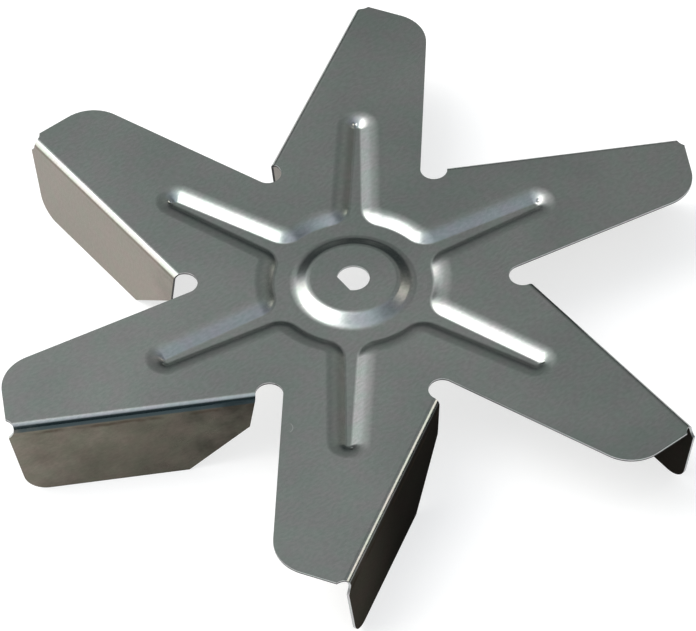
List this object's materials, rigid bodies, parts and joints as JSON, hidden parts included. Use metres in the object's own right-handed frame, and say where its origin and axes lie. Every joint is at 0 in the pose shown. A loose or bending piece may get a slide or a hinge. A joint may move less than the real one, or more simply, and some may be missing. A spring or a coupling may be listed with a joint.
{
  "type": "exhaust fan impeller",
  "caption": "Star-shaped fan impeller in one steel sheet, with folded-down blades, a pressed ring with ribs, and a D-shaped shaft hole.",
  "frame": {"origin": "on the shaft axis, level with the blades' lower edges", "axes": "+Z along the shaft axis, from the blades' lower edges to the flat plate; the flat of the shaft hole faces -X"},
  "size_m": [0.1488, 0.1392, 0.0191],
  "materials": {
    "steel_sheet": "satin mill finish, slightly mottled"
  },
  "bodies": {
    "root": {"fan_impeller": "steel_sheet"}
  },
  "joints": []
}
